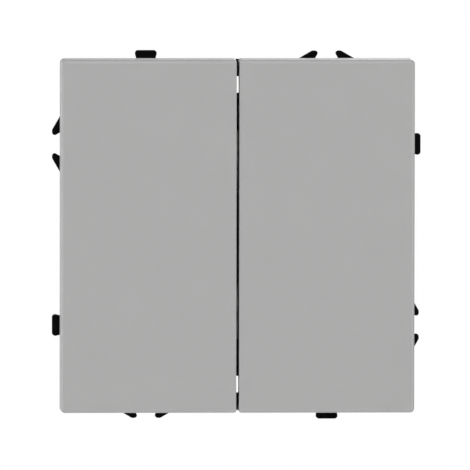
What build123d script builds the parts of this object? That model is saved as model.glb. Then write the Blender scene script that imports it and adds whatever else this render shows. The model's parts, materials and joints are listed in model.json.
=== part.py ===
from build123d import *
import os
from math import atan2, cos, degrees, radians, sin

# Two-gang rocker wall switch insert for a 60 mm wall box, without its decorative frame.
# Frame: +X right and +Z up as seen from the room, +Y into the wall. The origin is the centre of the
# square of box screws, on the wall plane, which is the rear face of the steel yoke. Sizes are in mm.

# ---- driving dimensions -------------------------------------------------------------------------
FACE_WIDTH = 70.85           # both rockers together, side to side
FACE_HEIGHT = 70.8
ROCKER_GAP = 0.38            # slit between the two rockers, at their rear edges
ROCKER_DRAFT = 1.0           # degrees by which a rocker's sides lean in towards its face
FACE_FRONT = -10.5           # front face of a rocker in its middle position
ROCKER_REAR = -5.2           # rear edge of a rocker's skirt
ROCKER_WALL = 1.5
ROCKER_TILT = 2.2            # degrees each side of the middle position

PLATE_SIZE = 70.3            # mounting frame and steel yoke, made for a 71 mm pitch
PLATE_CORNER = 1.6
STEEL_THICKNESS = 1.0
FRAME_FRONT = -3.0           # front face of the moulded mounting frame
BOX_SCREW_PITCH = 60.0
BOX_SCREW_RADIUS = 1.7
COUPLER_OFFSET = 18.1        # middle of a tab or of a claw pair, from the plate's centre line

HINGE_Y = -4.2               # rocker hinge axis
TRUNNION_RADIUS = 1.5
RUNNING_CLEARANCE = 0.05
GANG_X = 9.5                 # centre line of one gang's mechanism

HOUSING_HALF_X = 19.6
HOUSING_HALF_Z = 22.0
HOUSING_CHAMFER = 8.0
HOUSING_WALL = 1.2
HOUSING_REAR = 22.0
FLOOR_Y = 12.4               # front of the brass parts inside the housing
BRASS = 1.4                  # thickness of the brass parts

CONTACT_PIVOT_Y = 10.0       # axis of the see-saw contact
CONTACT_TILT = 5.0           # degrees each side of the middle position
CONTACT_ARM = 9.0            # from the pivot to a contact point
BLADE_FRONT = 8.6
BLADE = 1.2

TERMINAL_Z = 15.5
CLAMP_Y = 18.1               # front face of an open clamp plate

CLAW_SCREW_X = 23.6
CLAW_HINGE_X = 21.8
CLAW_HINGE_Y = 2.0
CLAW_NUT_Y = 14.2            # front face of the nut with the claw folded in
CLAW_NUT_HALF_X = 2.1

STEEL_FRONT = -STEEL_THICKNESS
HALF_FACE_X = FACE_WIDTH / 2
HALF_FACE_Z = FACE_HEIGHT / 2
HALF_PLATE = PLATE_SIZE / 2
HALF_PITCH = BOX_SCREW_PITCH / 2
HALF_GAP = ROCKER_GAP / 2
SIDES = {"left": -1, "right": 1}


# ---- small tools --------------------------------------------------------------------------------
def slab(outline, front, rear, draft=0.0):
    """Solid of an outline drawn in X and Z, between two values of Y; draft narrows it to the front."""
    return extrude(Plane.XZ.offset(-rear) * outline, rear - front, taper=draft)


def bar(outline, left, right):
    """Solid of an outline drawn in Y and Z, between two values of X."""
    return extrude(Plane.YZ.offset(left) * outline, right - left)


def column(outline, bottom, top):
    """Solid of an outline drawn in X and Y, between two values of Z."""
    return extrude(Plane.XY.offset(bottom) * outline, top - bottom)


def block(x, y, z):
    """Rectangular solid from three (low, high) pairs."""
    size = [high - low for low, high in (x, y, z)]
    centre = [(low + high) / 2 for low, high in (x, y, z)]
    return Pos(*centre) * Box(*size)


def rectangle(x, z):
    """Rectangle outline from two (low, high) pairs."""
    return Pos((x[0] + x[1]) / 2, (z[0] + z[1]) / 2) * Rectangle(x[1] - x[0], z[1] - z[0])


def rod(radius, x, z, front, rear):
    """Round solid along Y."""
    return slab(Pos(x, z) * Circle(radius), front, rear)


def pin(radius, y, z, left, right):
    """Round solid along X."""
    return bar(Pos(y, z) * Circle(radius), left, right)


def face_edges(shape, y, towards):
    """Edges of the flat faces of a shape that lie at y and look along -Y (-1) or +Y (1)."""
    edges = []
    for face in shape.faces().filter_by(GeomType.PLANE):
        if abs(face.center().Y - y) < 1e-3 and face.normal_at().Y * towards > 0.99:
            edges += face.edges()
    return edges


def opening_edges(shape, y):
    """Edges round the openings in the flat faces of a shape that lie at y."""
    edges = []
    for face in shape.faces().filter_by(GeomType.PLANE):
        if abs(face.center().Y - y) < 1e-3 and abs(face.normal_at().Y) > 0.99:
            for wire in face.inner_wires():
                edges += wire.edges()
    return edges


def mirrored(shape, side):
    """A shape drawn for the right-hand side, or its mirror image for the left."""
    return shape if side > 0 else mirror(shape, about=Plane.YZ)


def tilted(shape, y, angle):
    """Turned about an axis along +X at depth y; a positive angle brings the upper end forward."""
    return shape.rotate(Axis((0, y, 0), (1, 0, 0)), angle)


CROSS_SHARE = 0.62           # a screw drive's cross and slot, as shares of the head's diameter
SLOT_SHARE = 0.9
CROSS_WIDTH = 0.75
SLOT_WIDTH = 0.6


def drive_recess(radius, x, z, face, depth):
    """Cross recess with a longer slot, cut into a screw head whose face looks along +Y or -Y."""
    cross = 2 * radius * CROSS_SHARE
    arms = Rectangle(cross, CROSS_WIDTH) + Rectangle(CROSS_WIDTH, cross)
    arms += Rectangle(2 * radius * SLOT_SHARE, SLOT_WIDTH)
    return slab(Pos(x, z) * arms, min(face, face + depth), max(face, face + depth))


# ---- mounting plate -----------------------------------------------------------------------------
NECK_WIDTH = 3.75
HEAD_WIDTH = 4.3
TAB_REACH = 1.75             # how far a tab stands out of the plate
TAB_HEAD = 0.80              # length of the tab's head
CLAW_LEAN = 30.0             # degrees between a coupling claw and the plate's edge
CLAW_TIP = (1.50, 1.61)      # nose's inner corner: from the pair's centre line, and above the edge
CLAW_CROWN = (2.80, 1.74)    # nose's outer corner
CLAW_END = 2.7               # length of the slanted end face that grips a tab
FINGER_LENGTH = 7.0
CLAW_SINK = (0.05, 0.0, 0.15, 0.3)     # how much lower each edge's pair stands, from the top round
NOTCH_HALF = 7.4
NOTCH_DEPTH = 3.3
EDGE_BREAK = 0.15            # on the moulded frame's front edges and the yoke's rear ones
HOUSING_WINDOW_X = 20.5      # half sizes of the frame's window for the housing cover
HOUSING_WINDOW_Z = 21.0
RIM = 0.6                    # height of the frame's raised rims
CLIP_WINDOW_AT = (31.4, 30.0)
CLIP_WINDOW = (2.2, 5.6)
SIDE_SLOT = 8.4
CLAW_WINDOW = 7.4            # square window round the head of a claw screw
YOKE_INSET = 0.3             # from the moulded frame's edge to the yoke's
BEAD = (13.0, 3.0, 0.5)      # length, width and depth of a stiffening bead
BEAD_DRAFT = 50.0            # slope of its sides, in degrees from the sheet's normal
TIP_ROUND = 0.5
CROWN_ROUND = 0.9
TAB_ROUND = 0.6


def coupling_tab():
    """Dovetail tab that a neighbouring plate's claws snap onto, on an edge along local Y = 0."""
    half_neck = NECK_WIDTH / 2
    half_head = HEAD_WIDTH / 2
    corners = [
        (-half_neck, -1.0),
        (-half_neck, 0.0),
        (-half_head, TAB_REACH - TAB_HEAD),
        (-half_head, TAB_REACH),
        (half_head, TAB_REACH),
        (half_head, TAB_REACH - TAB_HEAD),
        (half_neck, 0.0),
        (half_neck, -1.0),
    ]
    outline = make_face(Polyline(*corners, close=True))
    head = [v for v in outline.vertices() if v.Y > 0.1]
    return fillet(head, TAB_ROUND)


def coupling_claw():
    """Right-hand sprung claw of a pair, leaning from its notch towards the pair's centre line."""
    across, up = cos(radians(CLAW_LEAN)), sin(radians(CLAW_LEAN))
    heel = (CLAW_TIP[0] + up * CLAW_END, CLAW_TIP[1] - across * CLAW_END)
    roots = [(x + across * FINGER_LENGTH, y - up * FINGER_LENGTH) for x, y in (CLAW_CROWN, heel)]
    outline = make_face(Polyline(heel, CLAW_TIP, CLAW_CROWN, *roots, close=True))
    outline = fillet(outline.vertices().sort_by(Axis.X)[0], TIP_ROUND)
    return fillet(outline.vertices().sort_by(Axis.Y)[-1], CROWN_ROUND)


def coupler_edge(plate, claw_sink):
    """One edge of the plate: a tab on its left and a pair of claws in a notch on its right."""
    edge = HALF_PLATE
    across = (COUPLER_OFFSET - NOTCH_HALF, COUPLER_OFFSET + NOTCH_HALF)
    notch = rectangle(across, (edge - NOTCH_DEPTH, edge + 5))
    claw = coupling_claw()
    claws = Pos(COUPLER_OFFSET, edge - claw_sink) * (claw + mirror(claw, about=Plane.YZ))
    claws &= rectangle((0, edge), (edge - NOTCH_DEPTH, edge + 5))
    return plate - notch + claws + Pos(-COUPLER_OFFSET, edge) * coupling_tab()


def screw_openings():
    """Round holes above and below, slots at the sides, and windows for the decorative frame's clips."""
    openings = Sketch()
    for sign in (-1, 1):
        openings += Pos(0, sign * HALF_PITCH) * Circle(BOX_SCREW_RADIUS)
        openings += Pos(sign * HALF_PITCH, 0) * SlotOverall(SIDE_SLOT, 2 * BOX_SCREW_RADIUS, rotation=90)
        for up in (-1, 1):
            openings += Pos(sign * CLIP_WINDOW_AT[0], up * CLIP_WINDOW_AT[1]) * Rectangle(*CLIP_WINDOW)
    return openings


RIVET_AT = [(x, z) for x in (-26.6, 26.6) for z in (-26.6, 26.6)]
RIVET_RADIUS = 1.4
RIVET_HEAD = 2.4


def rivet_holes():
    holes = Sketch()
    for x, z in RIVET_AT:
        holes += Pos(x, z) * Circle(RIVET_RADIUS)
    return holes


def mounting_frame():
    outline = RectangleRounded(PLATE_SIZE, PLATE_SIZE, PLATE_CORNER)
    for turn, sink in enumerate(CLAW_SINK):
        outline = Rot(0, 0, 90 * turn) * coupler_edge(Rot(0, 0, -90 * turn) * outline, sink)
    outline -= RectangleRounded(2 * HOUSING_WINDOW_X, 2 * HOUSING_WINDOW_Z, 2.0)
    outline -= screw_openings() + rivet_holes()
    for side in (-1, 1):
        outline -= Pos(side * CLAW_SCREW_X, 0) * RectangleRounded(CLAW_WINDOW, CLAW_WINDOW, 1.5)
    frame = slab(outline, FRAME_FRONT + RIM, STEEL_FRONT)
    # Raised rims stiffen the frame around the housing and along the middle of each edge.
    rim = RectangleRounded(2 * HOUSING_WINDOW_X + 10, 2 * HOUSING_WINDOW_Z + 7, 3.0)
    for turn in range(4):
        rim += Rot(0, 0, 90 * turn) * Pos(0, HALF_PLATE - 3.6) * Rectangle(19.0, 9.2)
    frame += slab(outline & (rim + coupler_pads()), FRAME_FRONT, FRAME_FRONT + RIM)
    return chamfer(face_edges(frame, FRAME_FRONT, -1), EDGE_BREAK)


def coupler_pads():
    """Where the tabs and claws are, so that they keep the frame's full thickness."""
    pads = Sketch()
    for turn in range(4):
        for offset, half in ((-COUPLER_OFFSET, 3.5), (COUPLER_OFFSET, NOTCH_HALF + 1.6)):
            pads += Rot(0, 0, 90 * turn) * Pos(offset, HALF_PLATE - 1.0) * Rectangle(2 * half, 9.0)
    return pads


def steel_yoke():
    size = PLATE_SIZE - 2 * YOKE_INSET
    outline = RectangleRounded(size, size, PLATE_CORNER)
    notch = Rectangle(2 * (NOTCH_HALF + 2 * YOKE_INSET), 2 * (NOTCH_DEPTH + 2 * YOKE_INSET))
    for turn in range(4):
        outline -= Rot(0, 0, 90 * turn) * Pos(COUPLER_OFFSET, HALF_PLATE) * notch
    outline -= Rectangle(2 * (HOUSING_HALF_X - 1.4), 2 * (HOUSING_HALF_Z - 2.2))
    outline -= screw_openings() + rivet_holes()
    for side in (-1, 1):
        outline -= Pos(side * CLAW_SCREW_X, 0) * Circle(CLAW_SCREW_SHANK + 0.3)
    yoke = slab(outline, STEEL_FRONT, 0)
    # Pressed beads across the corners stiffen the sheet; they are shallow grooves on its rear face.
    length, width, depth = BEAD
    for x, z in RIVET_AT:
        turn = 45 if x * z < 0 else -45
        groove = Pos(x * 0.84, z * 0.84) * SlotOverall(length, width, rotation=turn)
        yoke -= slab(groove, -depth, 0, BEAD_DRAFT)
    return fillet(face_edges(yoke, 0, 1), EDGE_BREAK)


def frame_rivet(x, z):
    """Flush with the wall plane behind, and with a low round head in front."""
    head = rod(RIVET_HEAD, x, z, FRAME_FRONT, FRAME_FRONT + RIM)
    head = fillet(head.edges().sort_by(Axis.Y)[0], 0.75 * RIM)
    return head + rod(RIVET_RADIUS, x, z, FRAME_FRONT + RIM, 0)


# ---- housing ------------------------------------------------------------------------------------
BOSS_AT = [(x, z) for x in (-16.2, 16.2) for z in (-10.5, 10.5)]
BOSS_RADIUS = 2.2
SCREW_SHANK = 1.1
SCREW_HEAD = 2.0
SCREW_SUNK = 0.9             # from the housing's rear face down to the face of a screw head
SCREW_HEAD_HEIGHT = 1.5
CHAMBER_HALF_X = 4.6
OPENING_ROUND = 0.3          # round the openings in the housing's rear face
ENTRY_RIM = 0.5              # width and depth of the step round each wire entry
CHAMBER_FRONT = FLOOR_Y + BRASS
CHAMBER_REAR = 19.6
# The common terminal is at the top, in the middle; the two outputs are at the bottom.
TERMINALS = {
    "common": (0.0, 1),
    "output_left": (-GANG_X, -1),
    "output_right": (GANG_X, -1),
}


def housing_outline(shrink=0.0):
    half_x = HOUSING_HALF_X - shrink
    half_z = HOUSING_HALF_Z - shrink
    cut = HOUSING_CHAMFER - (2 - 2 ** 0.5) * shrink
    corners = chamfer(Rectangle(2 * half_x, 2 * half_z).vertices(), cut)
    return fillet(corners.vertices(), 0.8)


def common_outline(grow=0.0):
    """Plan of the common terminal: a crossbar under both see-saws and a stem up to its screw."""
    crossbar = rectangle((-13.0 - grow, 13.0 + grow), (-2.2 - grow, 2.2 + grow))
    stem = rectangle((-3.9 - grow, 3.9 + grow), (0, 20.3 + grow))
    return crossbar + stem


def output_outline(x, grow=0.0):
    return rectangle((x - 3.9 - grow, x + 3.9 + grow), (-20.3 - grow, -6.6 + grow))


def housing_base():
    body = slab(housing_outline(), 0, HOUSING_REAR)
    rear_edges = body.faces().sort_by(Axis.Y)[-1].edges()
    body = fillet(rear_edges, 1.0)
    # The front pocket holds the see-saws and the retainer.
    body -= slab(housing_outline(HOUSING_WALL), -1, FLOOR_Y)
    # Bosses for the housing screws run the depth of the pocket.
    counterbore = HOUSING_REAR - SCREW_SUNK - SCREW_HEAD_HEIGHT
    for x, z in BOSS_AT:
        body += rod(BOSS_RADIUS, x, z, COVER_BOSS + 0.1, FLOOR_Y) & slab(housing_outline(0.4), 0, FLOOR_Y)
        body -= rod(SCREW_SHANK + 0.1, x, z, -1, HOUSING_REAR + 1)
        body -= rod(SCREW_HEAD + 0.2, x, z, counterbore, HOUSING_REAR + 1)
    # Seats for the brass parts in the pocket's floor.
    body -= slab(common_outline(0.08), FLOOR_Y - 0.1, CHAMBER_FRONT)
    for side in (-1, 1):
        body -= slab(output_outline(side * GANG_X, 0.08), FLOOR_Y - 0.1, CHAMBER_FRONT)
    for x, up in TERMINALS.values():
        body -= chamber(x, up)
        body -= chamber(x, up, ENTRY_RIM) - slab(housing_outline(ENTRY_RIM), 0, HOUSING_REAR)
        body -= rod(TERMINAL_HEAD_RADIUS + 0.4, x, up * TERMINAL_Z, CHAMBER_REAR - 0.1, HOUSING_REAR + 1)
    body -= rear_recesses()
    body = fillet(opening_edges(body, HOUSING_REAR), OPENING_ROUND)
    return body + claw_lugs()


def chamber(x, up, grow=0.0):
    """Space for one terminal, open to the outside at the end away from the housing's middle."""
    half_x = CHAMBER_HALF_X + grow
    deep = (CHAMBER_FRONT - 0.01 - grow, CHAMBER_REAR + grow)
    low, high = sorted((up * 10.6, up * (HOUSING_HALF_Z + 1)))
    return block((x - half_x, x + half_x), deep, (low, high))


def rear_recesses():
    """Moulded pockets that keep the rear wall even in thickness, and side grooves beside the claws."""
    pockets = Part()
    for side in (-1, 1):
        upper = rectangle(sorted((side * 6.2, side * 13.0)), (4.4, 15.6))
        pockets += slab(fillet(upper.vertices(), 1.0), 16.2, HOUSING_REAR + 1)
        lower = rectangle(sorted((side * 1.4, side * 13.8)), (-7.6, 2.2))
        pockets += slab(fillet(lower.vertices(), 1.0), 16.2, HOUSING_REAR + 1)
    shallow = rectangle((-3.4, 3.4), (-19.6, -10.4))
    pockets += slab(fillet(shallow.vertices(), 1.0), HOUSING_REAR - 1.4, HOUSING_REAR + 1)
    return pockets


LUG_HALF_Z = 7.4
CLAW_HALF_Z = 4.6
CLAW_PIN_RADIUS = 1.0


def claw_lugs():
    """Two ears on each side that hold a claw's hinge pin."""
    lugs = Part()
    for side in (-1, 1):
        for low, high in ((-LUG_HALF_Z, -CLAW_HALF_Z - 0.25), (CLAW_HALF_Z + 0.25, LUG_HALF_Z)):
            ear = Pos(CLAW_HINGE_X, CLAW_HINGE_Y) * Circle(1.9)
            ear += Pos((HOUSING_HALF_X - 1 + CLAW_HINGE_X) / 2, CLAW_HINGE_Y) * Rectangle(
                CLAW_HINGE_X - HOUSING_HALF_X + 1, 3.8
            )
            ear -= Pos(CLAW_HINGE_X, CLAW_HINGE_Y) * Circle(CLAW_PIN_RADIUS)
            lugs += mirrored(column(ear, low, high), side)
    return lugs


CHEEK = (17.75, 19.4)        # the outer trunnion's cheek, in X
CHEEK_HALF_Z = 3.4
BRIDGE_HALF_X = 1.1
BRIDGE_HALF_Z = 9.3
BEARING_FRONT = -5.5
MOUTH_HALF = 1.3             # half width of a bearing's mouth, which a trunnion snaps through
COVER_FRONT = -2.2
COVER_BOSS = 3.1             # rear end of the cover's screw bosses
STEM_WINDOW = (4.4, 4.8)     # half sizes of the cover's window for an actuator's stem
# Profiles of the two ridges on the centre line: Z and Y of their corners, from the lower end up.
UPPER_RIDGE = ((9.6, -3.1), (12.6, -3.3), (13.4, -4.4), (18.4, -4.15), (19.0, -3.3), (20.7, -2.5))
LOWER_RIDGE = ((-19.4, -2.9), (-16.0, -3.3), (-15.4, -4.25), (-12.5, -4.4), (-11.9, -3.5), (-9.9, -2.7))


def bearing_slot(left, right):
    """Seat for a trunnion, open to the front through a slightly narrower mouth."""
    seat = pin(TRUNNION_RADIUS + RUNNING_CLEARANCE, HINGE_Y, 0, left, right)
    mouth = bar(rectangle((BEARING_FRONT - 1, HINGE_Y), (-MOUTH_HALF, MOUTH_HALF)), left, right)
    return seat + mouth


def housing_cover():
    outline = RectangleRounded(2 * HOUSING_WINDOW_X - 0.4, 2 * HOUSING_WINDOW_Z - 0.4, 1.8)
    cover = slab(outline, COVER_FRONT, STEEL_FRONT)
    # A plug behind the plate passes the yoke's window and centres the cover in it.
    cover += slab(Rectangle(2 * (HOUSING_HALF_X - 1.5), 2 * (HOUSING_HALF_Z - 2.3)), STEEL_FRONT, 0)
    for x, z in BOSS_AT:
        cover += rod(BOSS_RADIUS, x, z, 0, COVER_BOSS)
        cover -= rod(SCREW_SHANK, x, z, -1.2, COVER_BOSS + 1)
    window = RectangleRounded(2 * STEM_WINDOW[0], 2 * STEM_WINDOW[1], 1.0)
    for side in (-1, 1):
        cover -= slab(Pos(side * GANG_X, 0) * window, COVER_FRONT - 1, 1)
        cheek = block(CHEEK, (BEARING_FRONT, COVER_FRONT), (-CHEEK_HALF_Z, CHEEK_HALF_Z))
        cheek = fillet(cheek.edges().filter_by(Axis.X).group_by(Axis.Y)[0], 0.8)
        cheek -= bearing_slot(CHEEK[0] - 1, CHEEK[1] + 1)
        cover += mirrored(cheek, side)
    # The ridges stand between the two actuators.
    for profile in (UPPER_RIDGE, LOWER_RIDGE):
        ends = [(COVER_FRONT + 0.1, profile[-1][0]), (COVER_FRONT + 0.1, profile[0][0])]
        ridge = Polyline(*[(y, z) for z, y in profile], *ends, close=True)
        cover += bar(make_face(ridge), -BRIDGE_HALF_X, BRIDGE_HALF_X)
    return cover - bridge(COVER_FRONT)


def bridge(front):
    """Narrow block between the two gangs, from a value of Y down to the yoke."""
    across = (-BRIDGE_HALF_X, BRIDGE_HALF_X)
    return block(across, (front, STEEL_FRONT), (-BRIDGE_HALF_Z, BRIDGE_HALF_Z))


def centre_bearing():
    """The post that carries both inner trunnions, set in the cover."""
    post = bridge(BEARING_FRONT)
    post = chamfer(post.edges().filter_by(Axis.X).group_by(Axis.Y)[0], 0.9)
    return post - bearing_slot(-2, 2)


def housing_screw(x, z):
    face = HOUSING_REAR - SCREW_SUNK
    under_head = face - SCREW_HEAD_HEIGHT
    screw = rod(SCREW_SHANK, x, z, -1.1, under_head) + rod(SCREW_HEAD, x, z, under_head, face)
    return screw - drive_recess(SCREW_HEAD, x, z, face, -0.9)


# ---- contacts and terminals ---------------------------------------------------------------------
FULCRUM_RADIUS = 0.8
SCREW_THREAD = 1.65
CONTACT_RADIUS = 1.5
CONTACT_SHANK = 0.95
FIXED_CONTACT_FRONT = 11.35
CONTACT_CROWN = 4.0          # radius of a contact's domed face
FULCRUM_HALF_X = 2.6
RETAINER = 1.2               # thickness of the retainer
STOP_FRONT = 10.9
STOP_Z = (8.0, 10.4)
BLADE_OUTLINE = (24.0, 6.0)


def contact_retainer():
    """Insulating plate that holds the brass parts down and stops the see-saws' open ends."""
    plate = slab(housing_outline(HOUSING_WALL + 0.15), FLOOR_Y - RETAINER, FLOOR_Y)
    through = (FLOOR_Y - RETAINER - 1, FLOOR_Y + 1)
    for side in (-1, 1):
        x = side * GANG_X
        stop = (x - FULCRUM_HALF_X, x + FULCRUM_HALF_X)
        plate -= block((x - 3.6, x + 3.6), through, (-3.0, 3.0))
        plate -= block((x - 2.4, x + 2.4), through, (-CONTACT_ARM - 2.4, -CONTACT_ARM + 2.2))
        plate += block(stop, (STOP_FRONT, FLOOR_Y - RETAINER), STOP_Z)
    for x, up in TERMINALS.values():
        plate -= rod(SCREW_THREAD + 0.55, x, up * TERMINAL_Z, *through)
    for x, z in BOSS_AT:
        plate -= rod(BOSS_RADIUS + 0.15, x, z, *through)
    return plate


def common_terminal():
    rail = slab(common_outline(), FLOOR_Y, CHAMBER_FRONT)
    for side in (-1, 1):
        left, right = side * GANG_X - FULCRUM_HALF_X, side * GANG_X + FULCRUM_HALF_X
        rail += block((left, right), (CONTACT_PIVOT_Y, FLOOR_Y), (-FULCRUM_RADIUS, FULCRUM_RADIUS))
        rail += pin(FULCRUM_RADIUS, CONTACT_PIVOT_Y, 0, left, right)
    x, up = TERMINALS["common"]
    return rail - rod(SCREW_THREAD + 0.1, x, up * TERMINAL_Z, 10, 15)


def output_terminal(x):
    plate = slab(output_outline(x), FLOOR_Y, CHAMBER_FRONT)
    plate -= rod(SCREW_THREAD + 0.1, x, -TERMINAL_Z, 10, 15)
    return plate - rod(CONTACT_SHANK, x, -CONTACT_ARM, 10, 15)


def fixed_contact(x):
    """Silver rivet with a domed face, riveted through the output terminal."""
    dome = Pos(x, FIXED_CONTACT_FRONT + CONTACT_CROWN, -CONTACT_ARM) * Sphere(CONTACT_CROWN)
    head = rod(CONTACT_RADIUS, x, -CONTACT_ARM, FIXED_CONTACT_FRONT - 0.5, FLOOR_Y) & dome
    return head + rod(CONTACT_SHANK, x, -CONTACT_ARM, FLOOR_Y, CHAMBER_FRONT)


def contact_blade(x):
    """See-saw blade in its middle position, with a half-round saddle over the fulcrum."""
    outline = Pos(x, 0) * SlotOverall(*BLADE_OUTLINE, rotation=90)
    blade = slab(outline, BLADE_FRONT, BLADE_FRONT + BLADE)
    blade -= pin(FULCRUM_RADIUS + RUNNING_CLEARANCE, CONTACT_PIVOT_Y, 0, x - 4, x + 4)
    return blade - rod(CONTACT_SHANK, x, -CONTACT_ARM, 8, 11)


def moving_contact(x):
    rear = BLADE_FRONT + BLADE
    head = rod(CONTACT_RADIUS, x, -CONTACT_ARM, rear, rear + 0.7)
    return head + rod(CONTACT_SHANK, x, -CONTACT_ARM, BLADE_FRONT, rear)


CLAMP = 1.2                  # thickness of a clamp plate
CLAMP_HALF = (4.2, 3.6)
TERMINAL_HEAD = 2.0          # height of a terminal screw's head
TERMINAL_HEAD_RADIUS = 2.9


def terminal_clamp(x, z):
    """Captive clamping plate that its chamber keeps from turning."""
    half_x, half_z = CLAMP_HALF
    plate = block((x - half_x, x + half_x), (CLAMP_Y, CLAMP_Y + CLAMP), (z - half_z, z + half_z))
    plate = chamfer(plate.edges().filter_by(Axis.Y), 0.6)
    return plate - rod(SCREW_THREAD + 0.2, x, z, CLAMP_Y - 1, CLAMP_Y + 3)


def terminal_screw(x, z):
    under_head = CLAMP_Y + CLAMP + 0.05
    shank = rod(SCREW_THREAD, x, z, CHAMBER_FRONT - 2.3, under_head)
    face = under_head + TERMINAL_HEAD
    head = rod(TERMINAL_HEAD_RADIUS, x, z, under_head, face)
    head = fillet(head.edges().sort_by(Axis.Y)[-1], 0.35)
    return shank + head - drive_recess(TERMINAL_HEAD_RADIUS, x, z, face, -1.1)


# ---- rockers ------------------------------------------------------------------------------------
ACTUATOR_HALF_X = 7.55
WEB_X = 5.1                  # from the gang's centre line to a web
PLATE_FRONT = -6.6           # actuator's clip plate
PLATE_REAR = -5.1
HUB_RADIUS = 1.6
SNAP_Z = 10.0
STEM_RADIUS = 3.3
STEM_REAR = 5.0
BORE_RADIUS = 2.1
PLUNGER_RADIUS = 2.0
PLUNGER_FRONT = 2.2
PLUNGER_TIP = BLADE_FRONT - 0.05
SPIGOT_RADIUS = 0.95         # on the plunger, inside its spring
BORE_FRONT = -3.0            # blind end of the stem's bore
LEG_HALF_X = 2.0
LEG_HALF = 0.6               # half thickness of a snap leg
BARB = 0.55


def snap_leg(z):
    """A sprung leg of the cap with a barb that catches behind the actuator's plate."""
    out = 1 if z > 0 else -1
    left, right = GANG_X - LEG_HALF_X, GANG_X + LEG_HALF_X
    tip = PLATE_REAR + 0.9
    leg = block((left, right), (CAP_INSIDE, tip), (z - LEG_HALF, z + LEG_HALF))
    barb = Polyline(
        (PLATE_REAR + 0.08, z + out * LEG_HALF),
        (PLATE_REAR + 0.08, z + out * (LEG_HALF + BARB)),
        (tip, z + out * LEG_HALF),
        close=True,
    )
    return leg + bar(make_face(barb), left, right)


SLIT_CORNER = 0.6            # rounding of a cap's corners and front edge, along the slit and outside
SLIT_EDGE = 0.15
OUTER_CORNER = 0.9
OUTER_EDGE = 0.7
FACE_THICKNESS = 1.6
CAP_INSIDE = FACE_FRONT + FACE_THICKNESS - 0.1
RIB_HALF = 0.4
RIB_REAR = -7.6
RIBS_ACROSS = (-26.0, -18.0, 18.0, 26.0)
RIBS_ALONG = (21.5, 28.0)
PADS = (3.4, 15.6)           # pads that rest on the actuator's plate, in X
PAD_HALF = 0.6
PAD_HALF_Z = 12.0


def rocker_cap():
    """Right-hand rocker in its middle position: crisp along the slit, softer along its outer sides."""
    x = (HALF_GAP, HALF_FACE_X)
    slit_side = rectangle((x[0], x[1] + 3), (-HALF_FACE_Z, HALF_FACE_Z))
    slit_side = fillet(slit_side.vertices().group_by(Axis.X)[0], SLIT_CORNER)
    body = slab(slit_side, FACE_FRONT, ROCKER_REAR, ROCKER_DRAFT)
    body = fillet(body.faces().sort_by(Axis.Y)[0].edges(), SLIT_EDGE)
    face = RectangleRounded(FACE_WIDTH, FACE_HEIGHT, OUTER_CORNER)
    both = slab(face, FACE_FRONT, ROCKER_REAR, ROCKER_DRAFT)
    body &= fillet(both.faces().sort_by(Axis.Y)[0].edges(), OUTER_EDGE)
    inside = (x[0] + ROCKER_WALL, x[1] - ROCKER_WALL)
    half = HALF_FACE_Z - ROCKER_WALL
    pocket = fillet(rectangle(inside, (-half, half)).vertices(), 0.6)
    body -= slab(pocket, FACE_FRONT + FACE_THICKNESS, 0)
    # Stiffening ribs across and along the inside of the face.
    for z in RIBS_ACROSS:
        body += block(inside, (CAP_INSIDE, RIB_REAR), (z - RIB_HALF, z + RIB_HALF))
    for rib_x in RIBS_ALONG:
        body += block((rib_x - RIB_HALF, rib_x + RIB_HALF), (CAP_INSIDE, RIB_REAR), (-half, half))
    # Pads that seat the cap on the actuator's plate, and the legs that clip it there.
    for pad_x in PADS:
        pad = (pad_x - PAD_HALF, pad_x + PAD_HALF)
        body += block(pad, (CAP_INSIDE, PLATE_FRONT - 0.04), (-PAD_HALF_Z, PAD_HALF_Z))
    for z in (-SNAP_Z, SNAP_Z):
        body += snap_leg(z)
    # The inner skirt is cut back over the centre bearing and over the box screws' heads.
    body -= block((-1, inside[0] + 0.01), (-6.6, 0), (-10.4, 10.4))
    for z in (-HALF_PITCH, HALF_PITCH):
        body -= block((-1, 4.4), (-7.4, 0), (z - 4.0, z + 4.0))
    return body


def actuator():
    """Right-hand actuator: clip plate, hub with trunnions, and the stem that holds the plunger."""
    left, right = GANG_X - ACTUATOR_HALF_X, GANG_X + ACTUATOR_HALF_X
    plate = fillet(rectangle((left, right), (-13.2, 13.2)).vertices(), 1.0)
    body = slab(plate, PLATE_FRONT, PLATE_REAR)
    slot = (GANG_X - LEG_HALF_X - 0.3, GANG_X + LEG_HALF_X + 0.3)
    for z in (-SNAP_Z, SNAP_Z):
        body -= block(slot, (PLATE_FRONT - 1, PLATE_REAR + 1), (z - LEG_HALF - 0.35, z + LEG_HALF + 0.35))
    body += pin(HUB_RADIUS, HINGE_Y, 0, left, right)
    body += block((left, right), (PLATE_REAR - 0.01, HINGE_Y), (-HUB_RADIUS, HUB_RADIUS))
    toe = HINGE_Y + 1.2
    web = Polyline((PLATE_REAR, -7.6), (toe, -1.2), (toe, 1.2), (PLATE_REAR, 7.6), close=True)
    for web_x in (GANG_X - WEB_X, GANG_X + WEB_X):
        body += bar(make_face(web), web_x - 0.6, web_x + 0.6)
    body += pin(TRUNNION_RADIUS, HINGE_Y, 0, 0.2, left)
    body += pin(TRUNNION_RADIUS, HINGE_Y, 0, right, CHEEK[1] - 0.2)
    body += rod(STEM_RADIUS, GANG_X, 0, PLATE_REAR - 0.01, STEM_REAR)
    return body - rod(BORE_RADIUS, GANG_X, 0, BORE_FRONT, STEM_REAR + 1)


def plunger():
    """Domed plunger that slides in the stem and presses on the see-saw."""
    shaft = rod(PLUNGER_RADIUS, GANG_X, 0, PLUNGER_FRONT, PLUNGER_TIP - PLUNGER_RADIUS)
    dome = Pos(GANG_X, PLUNGER_TIP - PLUNGER_RADIUS, 0) * Sphere(PLUNGER_RADIUS)
    spigot = rod(SPIGOT_RADIUS, GANG_X, 0, PLUNGER_FRONT - 1.6, PLUNGER_FRONT)
    return shaft + dome + spigot


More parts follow.
